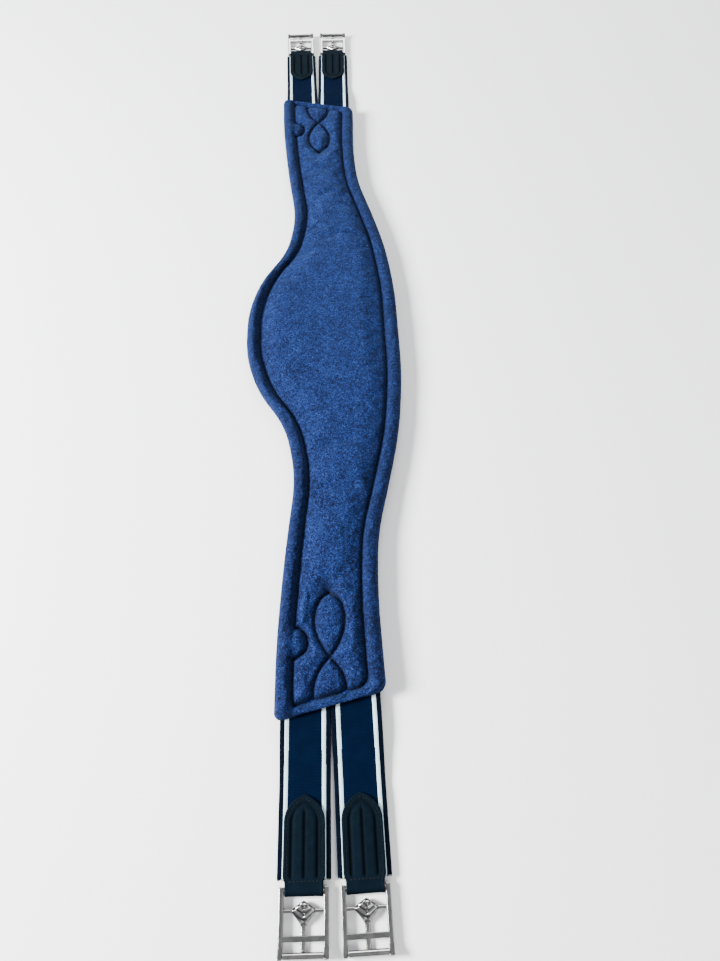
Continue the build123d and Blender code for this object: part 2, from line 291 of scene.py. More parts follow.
class Paint:
    """A procedural material under construction."""

    def __init__(self, name):
        self.material = bpy.data.materials.new(name)
        self.material.use_nodes = True
        self.tree = self.material.node_tree
        self.tree.nodes.clear()
        self.shader = self.add("ShaderNodeBsdfPrincipled")
        output = self.add("ShaderNodeOutputMaterial")
        self.join(self.shader.outputs["BSDF"], output.inputs["Surface"])

    def add(self, kind, **settings):
        node = self.tree.nodes.new(kind)
        for key, value in settings.items():
            setattr(node, key, value)
        return node

    def join(self, source, target):
        self.tree.links.new(source, target)

    def set(self, **values):
        for key, value in values.items():
            self.shader.inputs[key.replace("_", " ")].default_value = value

    def feed(self, socket, value):
        """Put a number, a colour or another node's output into a socket."""
        if isinstance(value, (int, float)):
            socket.default_value = value
        elif isinstance(value, tuple):
            socket.default_value = (*value, 1)
        else:
            self.join(value, socket)

    def through(self, kind, source, leave, numbers, entry="Vector", **settings):
        """Lead a source through a new node, and give the output by which it leaves."""
        node = self.add(kind, **settings)
        for key, number in numbers.items():
            node.inputs[key].default_value = number
        self.join(source, node.inputs[entry])
        return node.outputs[leave]

    def scaled(self, source, scale):
        return self.through("ShaderNodeMapping", source, "Vector", {"Scale": scale})

    def place(self, scale=(1, 1, 1)):
        """Rest place on the piece in millimetres, times scale."""
        source = self.add("ShaderNodeAttribute", attribute_name="place")
        return self.scaled(source.outputs["Vector"], [1000 * s for s in scale])

    def mark(self, name):
        """A number that the mesh carries, such as how much painted shade a point gets."""
        return self.add("ShaderNodeAttribute", attribute_name=name).outputs["Fac"]

    def part_place(self):
        """Place on a CAD part in millimetres."""
        return self.scaled(self.add("ShaderNodeTexCoord").outputs["Object"], (1000, 1000, 1000))

    def noise(self, where, size, detail=2.0, roughness=0.5, distortion=0.0):
        numbers = {"Scale": 1 / size, "Detail": detail, "Roughness": roughness, "Distortion": distortion}
        return self.through("ShaderNodeTexNoise", where, "Fac", numbers)

    def cells(self, where, size):
        numbers = {"Scale": 1 / size}
        return self.through("ShaderNodeTexVoronoi", where, "Distance", numbers, feature="SMOOTH_F1")

    def wave(self, where, size, direction, distortion=0.0):
        """Even ridges, size apart, across a direction."""
        numbers = {"Scale": 2 * math.pi / 20 / size, "Distortion": distortion}
        return self.through("ShaderNodeTexWave", where, "Fac", numbers, bands_direction=direction)

    def ramp(self, value, *stops):
        node = self.add("ShaderNodeValToRGB")
        set_stops(node.color_ramp.elements, stops)
        self.join(value, node.inputs["Fac"])
        return node.outputs["Color"]

    def range(self, value, low, high, start=0.0, end=1.0):
        numbers = {"From Min": start, "From Max": end, "To Min": low, "To Max": high}
        return self.through("ShaderNodeMapRange", value, "Result", numbers, "Value")

    def maths(self, operation, a, b):
        node = self.add("ShaderNodeMath", operation=operation)
        self.feed(node.inputs[0], a)
        self.feed(node.inputs[1], b)
        return node.outputs["Value"]

    def total(self, *parts):
        """The sum of two values, each times its share."""
        return self.maths("ADD", *[self.maths("MULTIPLY", value, share) for value, share in parts])

    def mix(self, share, a, b, blend="MIX"):
        node = self.add("ShaderNodeMix", data_type="RGBA", blend_type=blend)
        colours = [s for s in node.inputs if s.type == "RGBA"]
        for socket, value in zip((node.inputs[0], *colours), (share, a, b)):
            self.feed(socket, value)
        return [s for s in node.outputs if s.type == "RGBA"][0]

    def bump(self, height, depth, strength=1.0):
        """Bump of the given depth in millimetres, over any bump already there."""
        node = self.add("ShaderNodeBump")
        node.inputs["Strength"].default_value = strength
        node.inputs["Distance"].default_value = depth * MM
        self.join(height, node.inputs["Height"])
        links = self.shader.inputs["Normal"].links
        if links:
            self.join(links[0].from_socket, node.inputs["Normal"])
        self.join(node.outputs["Normal"], self.shader.inputs["Normal"])

    def colour(self, value):
        self.join(value, self.shader.inputs["Base Color"])

    def roughness(self, value):
        self.join(value, self.shader.inputs["Roughness"])


def dimmed(colour, share):
    return tuple(share * c for c in colour)


def felt(name, dark, middle, light):
    """Brushed felt-like lining: a crushed, mottled nap over fine fibres, with painted shade on the edge
    rolls, along the seams and in the dimples.
    """
    paint = Paint(name)
    where = paint.place()
    worms = paint.noise(where, 1.7, roughness=0.55, distortion=1.8)
    patches = paint.noise(where, 17, distortion=0.6)
    fibres = paint.noise(where, 0.45, roughness=0.7)
    tone = paint.total((worms, 0.88), (patches, 0.12))
    base = paint.ramp(tone, (0.38, dark), (0.5, middle), (0.63, light))
    speckle = paint.range(fibres, 0.72, 1.25, 0.3, 0.7)
    shaded = paint.mix(1.0, base, paint.ramp(speckle, (0.0, (0, 0, 0)), (1.0, (1, 1, 1))), "MULTIPLY")
    nap = paint.mix(0.45, base, shaded)
    roll = paint.mark("roll")
    # Painted shade: the edge rolls are darkened towards the dark colour.
    with_painted_shade = paint.mix(paint.maths("MULTIPLY", roll, 0.3), nap, dark)
    # Painted shade: darker along the seams and in the dimples, where the mesh's mark says.
    paint.colour(paint.mix(paint.maths("MULTIPLY", paint.mark("painted_shade"), 0.82), with_painted_shade, dimmed(dark, 0.45)))
    paint.roughness(paint.range(worms, 0.78, 0.95))
    paint.set(Sheen_Weight=0.06, Sheen_Roughness=0.5, Sheen_Tint=(0.15, 0.4, 0.95, 1))
    paint.set(Specular_IOR_Level=0.08)
    paint.bump(worms, 0.7, 0.85)
    paint.bump(fibres, 0.25, 0.7)
    across = paint.place((0.12, 0.62, 0.12))
    paint.bump(paint.maths("MULTIPLY", paint.noise(across, 1.0), roll), 1.1, 0.8)
    return paint.material


def woven(name, dark, light, pitch, ribs=0.35, sheen=0.15):
    """Plain weave: ridges both ways with a little uneven colour."""
    paint = Paint(name)
    where = paint.place()
    warp = paint.wave(where, pitch, "X", 0.6)
    weft = paint.wave(where, pitch, "Y", 0.6)
    weave = paint.maths("MAXIMUM", warp, weft)
    patches = paint.noise(where, 9, detail=3)
    tone = paint.maths("MULTIPLY", weave, paint.range(patches, 0.7, 1.15))
    paint.colour(paint.ramp(tone, (0.15, dark), (0.95, light)))
    paint.roughness(paint.range(patches, 0.7, 0.92))
    paint.set(Sheen_Weight=sheen, Sheen_Roughness=0.4, Specular_IOR_Level=0.3)
    paint.bump(weave, ribs, 0.8)
    paint.bump(paint.noise(where, 0.3), 0.08, 0.5)
    return paint.material


def knitted(name, dark, light, glow):
    """Woven elastic: fine ribs across the strap, crossed by tight warp threads."""
    paint = Paint(name)
    where = paint.place()
    ribs = paint.wave(where, 1.1, "Y", 0.3)
    threads = paint.wave(where, 0.75, "X", 0.8)
    fuzz = paint.noise(where, 0.35, roughness=0.7)
    patches = paint.noise(where, 14)
    weave = paint.total((ribs, 0.65), (threads, 0.35))
    tone = paint.total((weave, 0.5), (patches, 0.5))
    paint.colour(paint.ramp(tone, (0.25, dark), (0.75, light)))
    paint.roughness(paint.range(fuzz, 0.72, 0.92))
    paint.set(Sheen_Weight=glow, Sheen_Roughness=0.35, Sheen_Tint=(0.3, 0.5, 0.9, 1))
    paint.set(Specular_IOR_Level=0.02)
    paint.bump(weave, 0.22, 0.8)
    paint.bump(fuzz, 0.08, 0.6)
    return paint.material


def hide():
    """Black leather: fine pebbled grain, shallow creases, slightly uneven dye, and painted shade in the
    embossed channels.
    """
    paint = Paint("black_leather")
    where = paint.place()
    pebbles = paint.cells(where, 0.55)
    creases = paint.noise(where, 2.2, detail=4, roughness=0.65, distortion=0.8)
    wear = paint.noise(where, 8, detail=3)
    tone = paint.total((creases, 0.5), (wear, 0.5))
    painted_shade = paint.mark("painted_shade")
    dyed = paint.ramp(tone, (0.3, (0.0006, 0.0024, 0.0048)), (0.7, (0.0016, 0.0052, 0.0095)))
    # Painted shade: the embossed channels darken towards near black, where the mesh's mark says.
    paint.colour(paint.mix(paint.maths("MULTIPLY", painted_shade, 0.85), dyed, (0.0004, 0.0007, 0.001)))
    shine = paint.range(creases, 0.58, 0.74, 0.3, 0.7)
    paint.roughness(paint.maths("ADD", shine, paint.maths("MULTIPLY", painted_shade, 0.35)))
    paint.set(Specular_IOR_Level=0.02)
    paint.bump(pebbles, 0.06, 0.6)
    paint.bump(creases, 0.16, 0.55)
    return paint.material


def steel(name, colour, low, high):
    """Polished stainless steel: faint brushing and duller patches, a painted dark reflection on its steep
    flanks, and painted shade in marked cuts.
    """
    paint = Paint(name)
    where = paint.part_place()
    cloud = paint.noise(where, 5, detail=3)
    lines = paint.noise(paint.scaled(where, (6, 0.5, 6)), 0.8, detail=4, roughness=0.7)
    unshaded = paint.ramp(cloud, (0.3, dimmed(colour, 0.75)), (0.7, colour))
    # Painted reflection: steep faces are darkened as if they mirrored dark surroundings.
    source = paint.add("ShaderNodeTexCoord")
    facing = paint.add("ShaderNodeSeparateXYZ")
    paint.join(source.outputs["Normal"], facing.inputs["Vector"])
    flank = paint.range(paint.maths("ABSOLUTE", facing.outputs["Z"], 0), 0.8, 0.0, 0.1, 0.75)
    with_painted_shade = paint.mix(flank, unshaded, dimmed(colour, 0.22))
    # Painted shade in the cuts that the mesh marks.
    paint.colour(paint.mix(paint.maths("MULTIPLY", paint.mark("painted_shade"), 0.85), with_painted_shade, (0.02, 0.022, 0.026)))
    paint.roughness(paint.range(paint.total((cloud, 0.6), (lines, 0.4)), low, high, 0.3, 0.7))
    paint.set(Metallic=1.0)
    paint.bump(lines, 0.02, 0.5)
    return paint.material


def thread(name, dark, light):
    """Twisted sewing thread."""
    paint = Paint(name)
    where = paint.place()
    twist = paint.wave(where, 0.45, "DIAGONAL", 0.5)
    paint.colour(paint.ramp(twist, (0.1, dark), (0.9, light)))
    paint.roughness(paint.range(twist, 0.55, 0.8))
    paint.set(Sheen_Weight=0.05, Sheen_Roughness=0.4, Specular_IOR_Level=0.1)
    paint.bump(twist, 0.06, 0.7)
    return paint.material


LINING = felt("navy_felt", (0.0005, 0.0013, 0.008), (0.0023, 0.007, 0.04), (0.015, 0.038, 0.162))
COVER = woven("navy_cover_cloth", (0.004, 0.008, 0.022), (0.018, 0.032, 0.075), 0.9)
WEBBING = woven("black_webbing", (0.002, 0.003, 0.005), (0.014, 0.016, 0.022), 1.5, ribs=0.5)
ELASTIC = knitted("dark_elastic", (0.0001, 0.0014, 0.0068), (0.0002, 0.0042, 0.017), 0.006)
SELVEDGE = knitted("black_selvedge", (0.0003, 0.0008, 0.003), (0.001, 0.003, 0.009), 0.03)
STRIPE = knitted("white_stripe", (0.32, 0.46, 0.52), (0.62, 0.78, 0.84), 0.05)
LEATHER = hide()
STEEL = steel("polished_steel", (0.29, 0.288, 0.282), 0.1, 0.26)
BRIGHT_STEEL = steel("bright_steel", (0.37, 0.366, 0.357), 0.08, 0.22)
NAVY_THREAD = thread("navy_thread", (0.002, 0.004, 0.014), (0.008, 0.018, 0.055))
BLACK_THREAD = thread("black_thread", (0.0005, 0.0007, 0.001), (0.002, 0.003, 0.0045))


# ---------------------------------------------------------------- the body's outline

def edge_table(names, sign):
    """x of the body's outer edge at each whole millimetre of y, read from the CAD edge rolls."""
    tip = FRONT_TIP if sign < 0 else REAR_TIP
    runs = []
    for name in names:
        mesh = frame["nodes"][name].data
        ends = np.zeros(len(mesh.edges) * 2, int)
        mesh.edges.foreach_get("vertices", ends)
        runs.append(1000 * vertex_places(mesh)[ends.reshape(-1, 2)])
    runs = np.concatenate(runs)
    y = np.arange(-int(tip) + 4, int(tip) - 3, 1.0)
    x = np.full(len(y), np.nan)
    for k, level in enumerate(y):
        a, b = runs[:, 0], runs[:, 1]
        cut = (a[:, 1] - level) * (b[:, 1] - level) < 0
        a, b = a[cut], b[cut]
        if len(a):
            at = a[:, 0] + (b[:, 0] - a[:, 0]) * (level - a[:, 1]) / (b[:, 1] - a[:, 1])
            x[k] = sign * (sign * at).max()
    found = ~np.isnan(x)
    return y[found], x[found]


def edge_curve(names, sign):
    """The edge as a function of y, carried on straight past its last point."""
    y, x = edge_table(names, sign)
    blur = np.hanning(17) / np.hanning(17).sum()
    x = np.convolve(np.pad(x, 8, mode="reflect", reflect_type="odd"), blur, "valid")
    back = 25                  # the stretch that gives the slope past the last point
    low = (x[back] - x[0]) / (y[back] - y[0])
    high = (x[-1] - x[-1 - back]) / (y[-1] - y[-1 - back])

    def at(where):
        inside = np.interp(where, y, x)
        before = np.minimum(0, where - y[0]) * low
        after = np.maximum(0, where - y[-1]) * high
        return inside + before + after

    return at


stretches = ("near", "centre", "far")
front_at = edge_curve([f"roll_front_{s}" for s in stretches], -1)
rear_at = edge_curve([f"roll_rear_{s}" for s in stretches], 1)
FRONT_X = float(front_at(FRONT_TIP)) + ROLL_R
REAR_X = float(rear_at(REAR_TIP)) - ROLL_R
SLANT = (REAR_TIP - FRONT_TIP) / (REAR_X - FRONT_X)
SLANT_LENGTH = math.hypot(1, SLANT)
END_MIDDLE = FRONT_TIP - SLANT * FRONT_X + ROLL_R * SLANT_LENGTH


def end_y(x, inset=0.0):
    """Distance of the slanted end from the girth's middle, less an inset square to it."""
    return END_MIDDLE + SLANT * np.asarray(x) - inset * SLANT_LENGTH


def edge_depths(x, y):
    """Distances in from the nearer long edge and the nearer end."""
    slope_front = (front_at(y + 1) - front_at(y - 1)) / 2
    slope_rear = (rear_at(y + 1) - rear_at(y - 1)) / 2
    e = (end_y(x) - np.abs(y)) / SLANT_LENGTH
    rounding = CORNER - np.sqrt(np.maximum(0, CORNER**2 - np.maximum(0, CORNER - e) ** 2))
    d_front = (x - front_at(y)) / np.hypot(1, slope_front) - rounding
    d_rear = (rear_at(y) - x) / np.hypot(1, slope_rear) - rounding
    return np.minimum(d_front, d_rear), e


# ---------------------------------------------------------------- seams

# The sewn motif on each end panel, as (x, distance from the girth's middle).
MOTIF_TIP = (0.6, 301.0)
MOTIF_CROSSING = (0.4, 359.0)
MOTIF_LINES = [
    [MOTIF_TIP, (-7.4, 308.0), (-12.2, 320.0), (-12.2, 334.0), (-7.0, 348.0),
     MOTIF_CROSSING, (8.2, 368.5), (12.4, 379.0), (13.2, 390.0)],
    [MOTIF_TIP, (9.6, 308.0), (13.4, 320.0), (13.0, 334.0), (8.0, 348.0),
     MOTIF_CROSSING, (-7.8, 368.5), (-13.2, 380.0), (-15.2, 394.5)],
]
# The half-round notch in the front border seam.
NOTCH = [(-31.5, 332.0), (-24.0, 334.0), (-19.6, 342.0), (-20.6, 353.0), (-31.5, 361.0)]
SEAM_CORNER_FRONT = 390.0  # how far out the border seam's corners are
SEAM_CORNER_REAR = 380.0
SEAM_TURN = 7.0            # radius of its rear corner


def border_seam():
    """The seam from the middle of the front edge, round the far end, to the middle of the rear edge."""
    def front(y):
        return float(front_at(y)) + FRONT_SEAM

    def rear(y):
        return float(rear_at(y)) - REAR_SEAM

    def end(x):
        return float(end_y(x, END_SEAM))

    notch_start, notch_stop = NOTCH[0][1], NOTCH[-1][1]
    into_notch = (front(notch_start), notch_start)
    out_of_notch = (front(notch_stop), notch_stop)
    line = [(front(y), y) for y in np.arange(0, notch_start - 3, 8.0)]
    line.append(into_notch)
    corner_front, corner_rear = front(SEAM_CORNER_FRONT), rear(SEAM_CORNER_REAR)
    low, high = end(corner_front), end(corner_rear)
    after = [(front(y), y) for y in np.arange(notch_stop, low - 3, 6.0)]
    after += [(corner_front + 0.8, low - 1.2), (corner_front + 4, end(corner_front + 4))]
    across = [(x, end(x)) for x in np.linspace(corner_front + 10, corner_rear - SEAM_TURN, 9)]
    cut = 0.29 * SEAM_TURN     # how far a quarter turn passes inside its corner
    back = [(corner_rear - cut, high - cut), (rear(high - SEAM_TURN), high - SEAM_TURN)]
    back += [(rear(y), y) for y in np.arange(high - SEAM_TURN - 8, 0, -8.0)] + [(rear(0), 0.0)]
    notch = smooth_line([into_notch, *NOTCH[1:-1], out_of_notch])
    return np.concatenate([smooth_line(line), notch, smooth_line(after + across + back)])


def mirrored(line, way):
    """The line at the far end (way 1) or the near end (way -1)."""
    return line * np.array([1.0, way])


BORDER = border_seam()
MOTIFS = [smooth_line(points) for points in MOTIF_LINES]


def tree_of(points):
    """The points, arranged so that the nearest one is found quickly."""
    tree = KDTree(len(points))
    for k, (x, y) in enumerate(points):
        tree.insert((x, y, 0), k)
    tree.balance()
    return tree


def nearest(tree, x, y, reach=40.0):
    """Distance to the nearest point in the tree, no more than reach."""
    found = [tree.find((a, b, 0))[2] for a, b in zip(np.ravel(x), np.ravel(y))]
    return np.minimum(reach, np.array(found)).reshape(np.shape(x))


def seam_distance(x, y):
    return np.minimum(nearest(BORDER_TREE, x, y), nearest(MOTIF_TREE, x, y))


BORDER_TREE = tree_of(np.concatenate([mirrored(BORDER, 1), mirrored(BORDER, -1)]))
MOTIF_TREE = tree_of(np.concatenate([mirrored(line, way) for line in MOTIFS for way in (1, -1)]))


# ---------------------------------------------------------------- the padded body

def tip_distance(x, y):
    """Distance to the middle of the dimple by the motif's inner tip."""
    return np.hypot(x - MOTIF_TIP[0], np.abs(y) - MOTIF_TIP[1] + 3)


def pad_levels(x, y):
    """Heights of the pad's upper and lower surface.

    Full rolls run along the edges. The panel between them is lower, swells between its seams, and dips
    into a sharp groove with soft shoulders at each one. Its underside lies on the cover.
    """
    d, e = edge_depths(x, y)
    inner = smooth((d - 7) / 7)
    middle = ROLL_R + 2.9 * inner * (1 - smooth((e - 3) / 10))
    crest = 2 * ROLL_R - 2.4 * smooth((d - 9) / 7) - 1.1 * inner * (1 - smooth((e - 6) / 6))
    floor = (COVER_HIGH + 0.15) * smooth((d - 9) / 5) + 1.9 * inner * (1 - smooth((e - 10) / 4))
    fade = round_edge(d, ROLL_R) * round_edge(e, NOSE)
    near_border = nearest(BORDER_TREE, x, y)
    near_motif = nearest(MOTIF_TREE, x, y)
    near_seam = np.minimum(near_border, near_motif)
    crest = crest + 2.0 * (1 - np.exp(-near_seam / 9)) * smooth((d - 12) / 6)
    crest = crest - 2.0 * bell(near_border, 1.6) - 3.6 * np.exp(-near_border / 4.2)
    crest = crest - 1.7 * bell(near_motif, 1.5) - 2.7 * np.exp(-near_motif / 3.8)
    crest = crest - 2.8 * bell(tip_distance(x, y), DIMPLE)
    pucker = lumps(x, y, 3.4, 5) * np.exp(-near_seam / 5) * 0.28
    crest = crest + pucker + 0.5 * lumps(x, y, 46, 2) + 0.22 * lumps(x, y, 13, 3)
    upper = middle + (crest - middle) * fade
    lower = middle - (middle - floor) * fade
    return upper, lower


def body_rows(step, first=0.0):
    """Distances in from the end of the grid's rows, closer together round the nose."""
    nose = NOSE * (1 - np.cos(np.linspace(0, math.pi / 2, 8)))
    rest = np.linspace(NOSE, END_MIDDLE, int((END_MIDDLE - NOSE) / step) + 1)[1:]
    rows = np.concatenate([nose, rest])
    return rows[rows >= first - 1e-9]


def row_lines(rows, way):
    """For each row, y on the centre line and its slope: slanted at the end, square in the middle."""
    y = way * (END_MIDDLE - rows)
    return y, way * SLANT * np.abs(y) / END_MIDDLE


def corner_inset(e):
    """How far in a rounded corner brings the long edge, at a distance from the end."""
    return CORNER - math.sqrt(max(0, CORNER**2 - max(0, CORNER - max(0, e)) ** 2))


def body_grid(way, rows, columns, inset=0.0):
    """x and y of a grid over one half of the body; columns gives a row's x from its two edges.

    A row's edges depend on where the slanted row meets them, so they are found in a few steps.
    """
    middle, slope = row_lines(rows, way)
    xs, ys = [], []
    for y0, k in zip(middle, slope):
        front, rear = -40.0, 40.0
        for _ in range(6):
            e_front = (float(end_y(front)) - abs(y0 + k * front)) / SLANT_LENGTH
            e_rear = (float(end_y(rear)) - abs(y0 + k * rear)) / SLANT_LENGTH
            front = float(front_at(y0 + k * front)) + corner_inset(e_front) + inset
            rear = float(rear_at(y0 + k * rear)) - corner_inset(e_rear) - inset
        x = columns(front, rear)
        xs.append(x)
        ys.append(y0 + k * x)
    return np.array(xs), np.array(ys)


def crowded(radius, turns, count):
    """Columns for a body grid that crowd towards its edges, where it turns under with a radius."""
    turn = radius * (1 - np.cos(np.linspace(0, math.pi / 2, turns)))

    def columns(front, rear):
        inner = np.linspace(front + radius, rear - radius, count)[1:-1]
        return np.concatenate([front + turn, inner, rear - turn[::-1]])

    return columns


def across_joint(piece):
    """Bake a half-body piece's transform into its mesh."""
    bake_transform(piece)


def settle_cloth():
    """How the stuffing moves a coarse sheet of the lining between its seams, for each end's rows.

    The sheet runs from the far end to the near end. It is held along its seams and its rolled edges,
    is cut slightly large, and is swollen from below by a cloth simulation.
    """
    coarse = body_rows(CLOTH_STEP)
    share = np.linspace(0, 1, CLOTH_COLUMNS)

    def even_columns(front, rear):
        return front + (rear - front) * share

    far_x, far_y = body_grid(1, coarse, even_columns)
    near_x, near_y = body_grid(-1, coarse, even_columns)
    cx = np.concatenate([far_x, near_x[-2::-1]])
    cy = np.concatenate([far_y, near_y[-2::-1]])
    flat = grid(cx, cy, pad_levels(cx, cy)[0])
    cloth = finish_mesh("pressed_sheet", flat.reshape(-1, 3), grid_faces(*cx.shape), weld=False)
    d, e = edge_depths(cx, cy)
    near_seam = seam_distance(cx, cy)
    held = (near_seam < CLOTH_HELD) | (d < CLOTH_RIM) | (e < CLOTH_RIM)
    group = cloth.vertex_groups.new(name="sewn")
    group.add([int(k) for k in np.flatnonzero(held.ravel())], 1.0, "REPLACE")
    modifier = cloth.modifiers.new("stuffing", "CLOTH")
    settings = modifier.settings
    settings.quality = 8
    settings.mass = 0.05
    settings.tension_stiffness = settings.compression_stiffness = 18
    settings.shear_stiffness = 8
    settings.bending_stiffness = 0.3
    settings.use_pressure = True
    settings.uniform_pressure_force = 4 if cloth.data.polygons[0].normal.z > 0 else -4
    settings.shrink_min = -CLOTH_SPARE
    settings.vertex_group_mass = "sewn"
    settings.effector_weights.gravity = 0
    modifier.collision_settings.use_collision = False
    modifier.point_cache.frame_end = CLOTH_FRAMES
    for number in range(1, CLOTH_FRAMES + 1):
        bpy.context.scene.frame_set(number)
    solved = cloth.evaluated_get(bpy.context.evaluated_depsgraph_get()).data
    moved = vertex_places(solved).reshape(*cx.shape, 3) / MM - flat
    bpy.data.objects.remove(cloth)
    bpy.context.scene.frame_set(1)
    size = np.linalg.norm(moved, axis=2, keepdims=True)
    moved = moved * np.minimum(1, CLOTH_CAP / np.maximum(size, 1e-9))
    return {"far": moved[:len(coarse)], "near": moved[:len(coarse) - 2:-1]}


def stuffed(end, rows, x):
    """The settled cloth's movement at the points of a finer grid."""
    if CLOTH is None:
        return np.zeros((*x.shape, 3))
    moved = CLOTH[end]
    coarse = body_rows(CLOTH_STEP)
    share = np.linspace(0, 1, CLOTH_COLUMNS)
    fine_share = (x - x[:, :1]) / (x[:, -1:] - x[:, :1])
    at = np.interp(rows, coarse, np.arange(len(coarse)))
    low = np.minimum(at.astype(int), len(coarse) - 2)
    part = at - low
    found = np.zeros((*x.shape, 3))
    for k in range(3):
        for r in range(len(rows)):
            a = np.interp(fine_share[r], share, moved[low[r], :, k])
            b = np.interp(fine_share[r], share, moved[low[r] + 1, :, k])
            found[r, :, k] = a + (b - a) * part[r]
    return found


CLOTH = settle_cloth()


def make_pad(end):
    """Half of the padded body: lining, rolls and piping as one stuffed skin."""
    rows = body_rows(ROW_STEP)
    x, y = body_grid(ENDS[end], rows, crowded(ROLL_R, 10, INNER_COLUMNS))
    high, low = pad_levels(x, y)
    near_seam = seam_distance(x, y)
    # Painted shade: a mark for darkening in and beside the seam grooves and in the dimple by the motif's
    # tip.
    painted_shade = 0.7 * bell(near_seam, 1.9) + 0.34 * np.exp(-near_seam / 8)
    painted_shade = painted_shade + 0.45 * bell(tip_distance(x, y), DIMPLE)
    # The roll mark gives the edge rolls painted shade and fine wrinkles.
    roll = 1 - smooth((edge_depths(x, y)[0] - FRONT_SEAM + 4) / 4)
    free = 1 - bell(near_seam, CLOTH_HELD)
    upper = grid(x, y, high) + stuffed(end, rows, x) * free[:, :, None]
    lower = grid(x, y, low)
    marks = {"painted_shade": np.clip(painted_shade, 0, 1), "roll": roll}
    pad = shell(f"padded_lining_{end}", upper, lower, marks=marks)
    dress(pad, LINING, "lining_fabric")
    across_joint(pad)
    layers = ("lining", "foam", "roll_front", "roll_rear")
    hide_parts(*[f"{layer}_{part}" for layer in layers for part in (end, "centre")], f"piping_{end}")


def make_pad_stitches(end):
    """Thread along the border seam and the motif, sunk in their grooves."""
    p, w = joined([spaced(mirrored(line, ENDS[end]), STITCH_PITCH) for line in [BORDER, *MOTIFS]])
    keep = np.abs(p[:, 1]) > 2
    p, w = p[keep], w[keep]
    high = pad_levels(p[:, 0], p[:, 1])[0]
    ahead = pad_levels(p[:, 0] + w[:, 0], p[:, 1] + w[:, 1])[0]
    w = np.stack([w[:, 0], w[:, 1], ahead - high], axis=1)
    w /= np.linalg.norm(w, axis=1)[:, None]
    points = np.stack([p[:, 0], p[:, 1], high + 0.05], axis=1)
    look = (NAVY_THREAD, "lining_fabric")
    across_joint(stitches(f"lining_stitches_{end}", points, w, UP, STITCH, look))


# ---------------------------------------------------------------- outer cover and webbing

COVER_INSET = 13.0
COVER_RIM = 1.2            # radius of its folded rim
COVER_SEAM = 3.0           # rim seam, in from the rim
WEB_LOW = 1000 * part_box("webbing_centre")[0].z
WEB_HIGH = 1000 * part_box("webbing_centre")[1].z
WEB_X = (1000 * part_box("webbing_centre")[0].x, 1000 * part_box("webbing_centre")[1].x)
WEB_END = 12.0
WEB_SEAM = 3.2             # in from the webbing's edge
WEB_BOX = 38.0             # length of the crossed box of stitches at its end
UNDER_STEP = 3.0           # rows of the cover and the webbing


def make_cover(end):
    """The outer cloth between the rolls, quilted down along its rim."""
    rows = body_rows(UNDER_STEP, 2.6)
    x, y = body_grid(ENDS[end], rows, crowded(COVER_RIM, 5, 46), COVER_INSET)
    e = edge_depths(x, y)[1]
    e = e - e[0]
    d = np.minimum(x - x[:, :1], x[:, -1:] - x)
    rim = round_edge(d, COVER_RIM) * round_edge(e, COVER_RIM)
    middle = (COVER_LOW + COVER_HIGH) / 2
    half = (COVER_HIGH - COVER_LOW) / 2
    sewn = 0.55 * bell(np.minimum(d, e) - COVER_SEAM, 1.0)
    sag = 0.25 * lumps(x, y, 31, 8)
    upper = grid(x, y, middle + half * rim)
    lower = grid(x, y, middle - (half - sewn + sag) * rim)
    piece = shell(f"outer_cover_{end}", upper, lower)
    dress(piece, COVER, "cover_fabric")
    across_joint(piece)
    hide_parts(f"cover_{end}", "cover_centre")


def make_webbing(end):
    """The load-bearing webbing along the outer side."""
    across = np.linspace(-1, 1, 31)
    across = np.sign(across) * (1 - (1 - np.abs(across)) ** 1.35)
    rows = body_rows(UNDER_STEP, WEB_END)
    half_width = (WEB_X[1] - WEB_X[0]) / 2
    x = np.tile((WEB_X[0] + WEB_X[1]) / 2 + half_width * across, (len(rows), 1))
    middle, slope = row_lines(rows, ENDS[end])
    y = middle[:, None] + slope[:, None] * x
    e = edge_depths(x, y)[1]
    e = e - e[0]
    edge = half_width - np.abs(x - x.mean(axis=1)[:, None])
    rim = round_edge(edge, 0.9) * round_edge(e, 0.9)
    level = (WEB_LOW + WEB_HIGH) / 2
    thick = (WEB_HIGH - WEB_LOW) / 2
    sewn = 0.4 * bell(edge - WEB_SEAM, 0.9)
    upper = grid(x, y, level + thick * rim)
    lower = grid(x, y, level - (thick - sewn) * rim)
    piece = shell(f"girth_webbing_{end}", upper, lower)
    dress(piece, WEBBING, "webbing")
    across_joint(piece)
    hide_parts(f"webbing_{end}", "webbing_centre")


def make_underside_stitches(end):
    """Rows along the webbing's edges, a crossed box at its end, and the cover's rim seam."""
    way = ENDS[end]
    x0, x1 = WEB_X[0] + WEB_SEAM, WEB_X[1] - WEB_SEAM
    outer0, outer1 = [(x, float(end_y(x, WEB_END + 4))) for x in (x0, x1)]
    inner0, inner1 = [(x, y - WEB_BOX) for x, y in (outer0, outer1)]
    lines = [((x0, 3.0), outer0), ((x1, 3.0), outer1)]
    lines += [(outer0, outer1), (inner0, inner1), (outer0, inner1), (outer1, inner0)]
    places = [(mirrored(np.array(line), way), WEB_LOW + 0.1) for line in lines]
    rows = np.arange(4.0, END_MIDDLE - 8, 5.0)
    for at, side in ((front_at, 1), (rear_at, -1)):
        x = at(way * rows) + side * (COVER_INSET + COVER_SEAM + 0.4)
        places.append((np.stack([x, way * rows], axis=1), COVER_LOW + 0.25))
    runs = []
    for line, level in places:
        p, w = spaced(line, STITCH_PITCH)
        inside = np.abs(p[:, 1]) < end_y(p[:, 0], 6)
        p, w = p[inside], w[inside]
        runs.append([np.insert(p, 2, level, axis=1), np.insert(w, 2, 0.0, axis=1)])
    look = (BLACK_THREAD, "webbing")
    across_joint(stitches(f"underside_stitches_{end}", *joined(runs), -UP, STITCH, look))


# ---------------------------------------------------------------- straps

